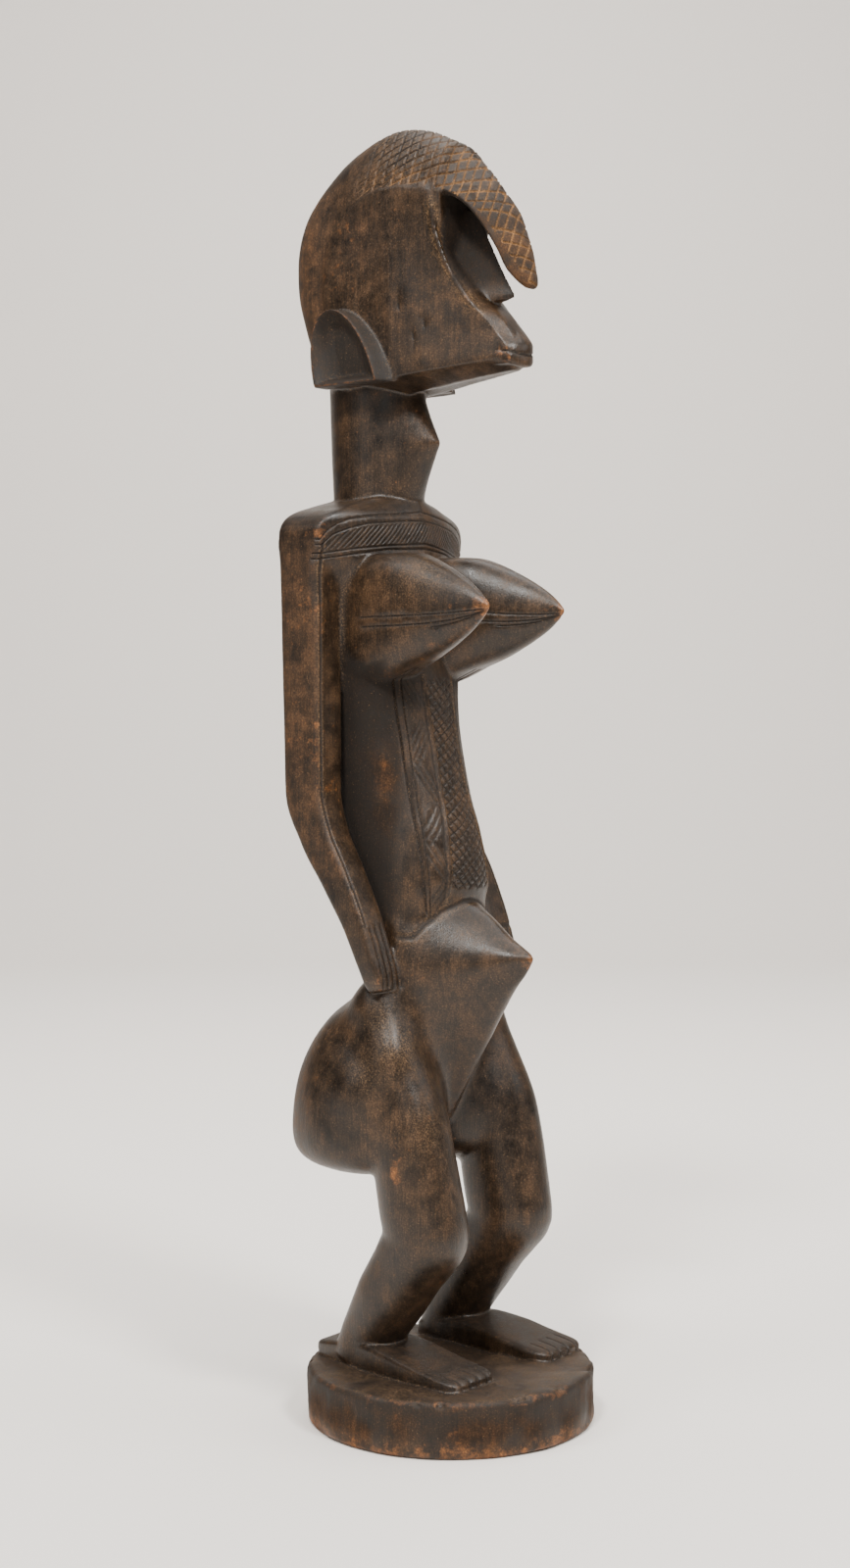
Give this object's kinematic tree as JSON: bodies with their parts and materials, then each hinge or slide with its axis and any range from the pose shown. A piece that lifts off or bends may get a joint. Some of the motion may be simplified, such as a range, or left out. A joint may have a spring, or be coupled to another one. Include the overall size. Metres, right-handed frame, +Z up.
{
  "type": "carved wooden fertility figure",
  "caption": "Standing female figure on a round base, carved in dark wood, with crested head, pointed breasts, keeled belly and bent knees.",
  "frame": {"origin": "centre of the round base's underside", "axes": "+Z up along the standing figure, -Y the way the figure faces, +X its left-hand side"},
  "size_m": [0.168, 0.2046, 0.7589],
  "materials": {
    "wood": "dark brown-black hardwood, hand carved, satin patina worn orange-brown on its edges"
  },
  "bodies": {
    "root": {"figure": "wood"}
  },
  "joints": []
}
